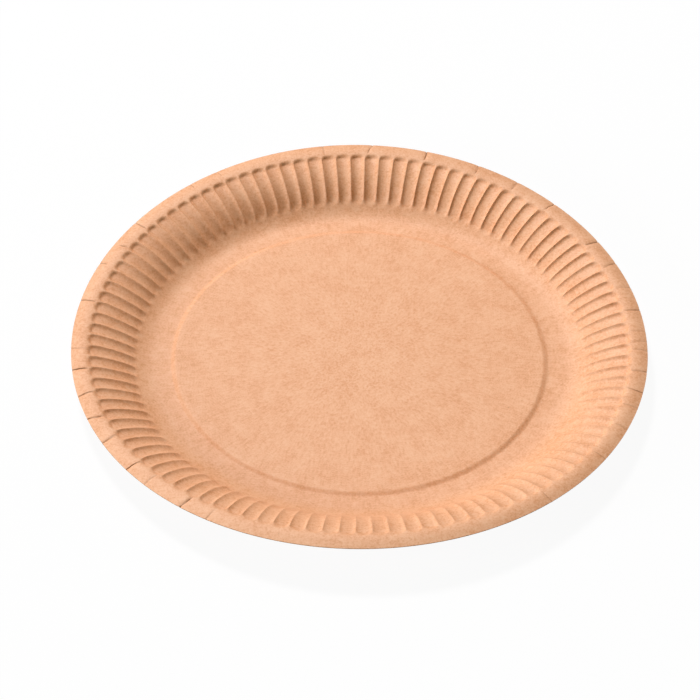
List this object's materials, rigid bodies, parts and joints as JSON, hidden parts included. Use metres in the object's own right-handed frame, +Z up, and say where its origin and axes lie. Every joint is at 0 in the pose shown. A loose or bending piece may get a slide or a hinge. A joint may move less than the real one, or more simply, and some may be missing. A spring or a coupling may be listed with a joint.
{
  "type": "paper plate",
  "caption": "Round kraft paper plate with a raised flat centre, a fluted sloping wall and a smooth rolled rim, for serving food.",
  "frame": {"origin": "centre of the flat foot, on the face the plate stands on", "axes": "+Z up out of the dish; +Y away from the viewer and +X to the viewer's right"},
  "size_m": [0.23, 0.23, 0.016],
  "materials": {
    "kraft_paper": "matte uncoated kraft paperboard, pale warm brown"
  },
  "bodies": {
    "root": {"plate": "kraft_paper"}
  },
  "joints": []
}
